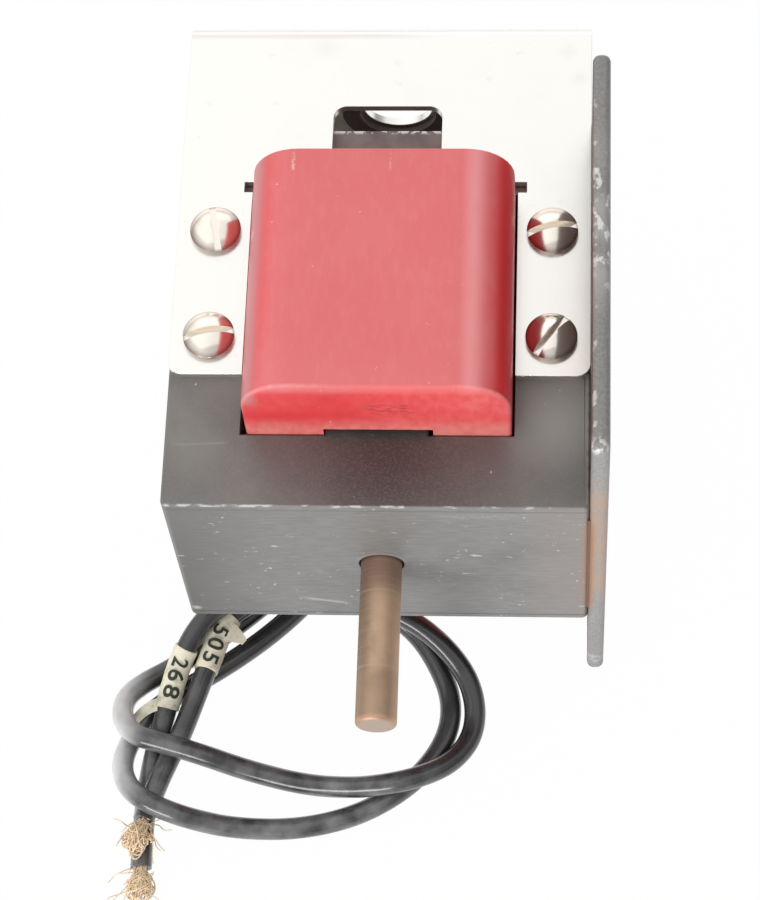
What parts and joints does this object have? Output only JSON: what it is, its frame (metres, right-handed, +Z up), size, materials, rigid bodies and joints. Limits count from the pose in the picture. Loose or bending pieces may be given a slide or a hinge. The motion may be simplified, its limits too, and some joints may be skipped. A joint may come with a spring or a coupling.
{
  "type": "push pull solenoid",
  "caption": "Laminated AC solenoid: a moulded coil in an E-shaped field, a T-shaped plunger that slides in a plated guide bracket, a push rod at the front, and a side mounting plate.",
  "frame": {"origin": "on the push rod's axis, in the plane of the field's front face, where the rod comes out", "axes": "+Y runs back along the stroke, away from the rod's tip; +X points to the mounting plate; +Z is up"},
  "size_m": [0.0965, 0.1518, 0.1017],
  "materials": {
    "core_steel": "dark oiled laminated steel, brushed on the ground faces",
    "black_plate": "black oxide sheet steel",
    "plunger_steel": "dark laminated steel with bright worn edges",
    "mounting_steel": "grey oxide plate, chipped along its edges",
    "weld_metal": "heat stained weld metal",
    "nickel_sheet": "satin nickel plate",
    "coil_red": "red moulded resin, faded and slightly worn",
    "bobbin_nylon": "natural nylon",
    "winding_wire": "enamelled copper wire",
    "fibre": "brown laminated fibre",
    "copper_ring": "bare copper",
    "bush_bronze": "sintered bronze",
    "rod_bronze": "brown bronze, worn bright at the tip",
    "pin_steel": "bright steel",
    "screw_nickel": "bright nickel plate",
    "zinc_steel": "zinc plated steel",
    "buffer_rubber": "black rubber",
    "lead_black": "black lead insulation",
    "marker_cream": "cream wire marker tape",
    "strand_copper": "bare copper strands"
  },
  "bodies": {
    "frame": {"field_laminations": "core_steel", "field_plate_top": "black_plate", "field_plate_bottom": "black_plate", "rod_bush": "bush_bronze", "shading_ring_left": "copper_ring", "shading_ring_right": "copper_ring", "mounting_plate": "mounting_steel", "mounting_weld": "weld_metal", "coil_bobbin": "bobbin_nylon", "coil_winding": "winding_wire", "coil_moulding": "coil_red", "coil_wedge_top": "fibre", "coil_wedge_bottom": "fibre", "guide_bracket": "nickel_sheet", "stop_washer": "buffer_rubber", "clamp_screws": "screw_nickel", "lock_washers": "zinc_steel", "clamp_nuts": "zinc_steel", "lead_1": "lead_black", "lead_2": "lead_black", "lead_marker_1": "marker_cream", "lead_marker_2": "marker_cream", "lead_strands_1": "strand_copper", "lead_strands_2": "strand_copper"},
    "plunger": {"plunger_laminations": "plunger_steel", "plunger_plate_top": "plunger_steel", "plunger_plate_bottom": "plunger_steel", "plunger_rivets": "pin_steel", "push_rod": "rod_bronze", "rod_pin": "pin_steel"}
  },
  "joints": [
    {"name": "plunger_slide", "type": "slide", "parent": "frame", "child": "plunger", "axis": [0, 1, 0], "range_m": [0, 0.01905]}
  ]
}
